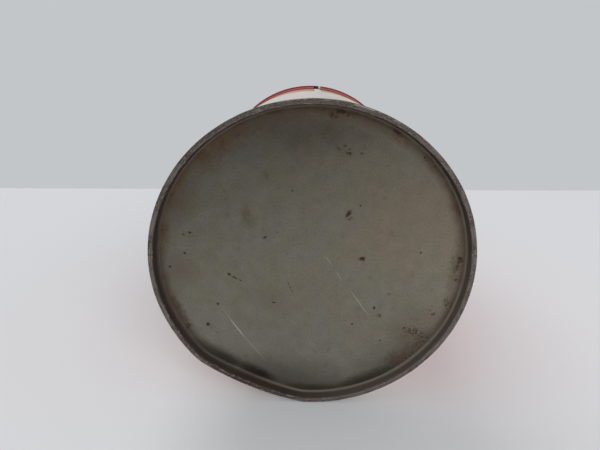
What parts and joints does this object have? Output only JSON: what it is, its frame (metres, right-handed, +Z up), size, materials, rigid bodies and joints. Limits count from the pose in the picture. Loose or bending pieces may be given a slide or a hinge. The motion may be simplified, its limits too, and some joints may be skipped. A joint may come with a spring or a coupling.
{
  "type": "bobbin box",
  "caption": "Round printed tin box with a double-seamed sunk base, soldered side seam, rolled rim and a lift-off plug lid, for keeping bobbins.",
  "frame": {"origin": "middle of the ring that the tin stands on", "axes": "+Z up along the tin's axis, from base to lid; +Y towards the side seam"},
  "size_m": [0.1032, 0.1032, 0.1511],
  "materials": {
    "litho_tin": "litho print under varnish, worn",
    "solder": "dull solder",
    "tinplate": "tarnished tinplate with rust spots",
    "lid_enamel": "gloss print, worn at the edges",
    "lid_tinplate": "plain tinplate"
  },
  "bodies": {
    "tin": {"body_wall": "litho_tin", "side_seam_solder": "solder", "base_end": "tinplate"},
    "lid": {"lid_top": "lid_enamel", "lid_plug_ring": "lid_tinplate"}
  },
  "joints": [
    {"name": "lid_lift", "type": "slide", "parent": "tin", "child": "lid", "axis": [0, 0, 1], "range_m": [0, 0.12]}
  ]
}
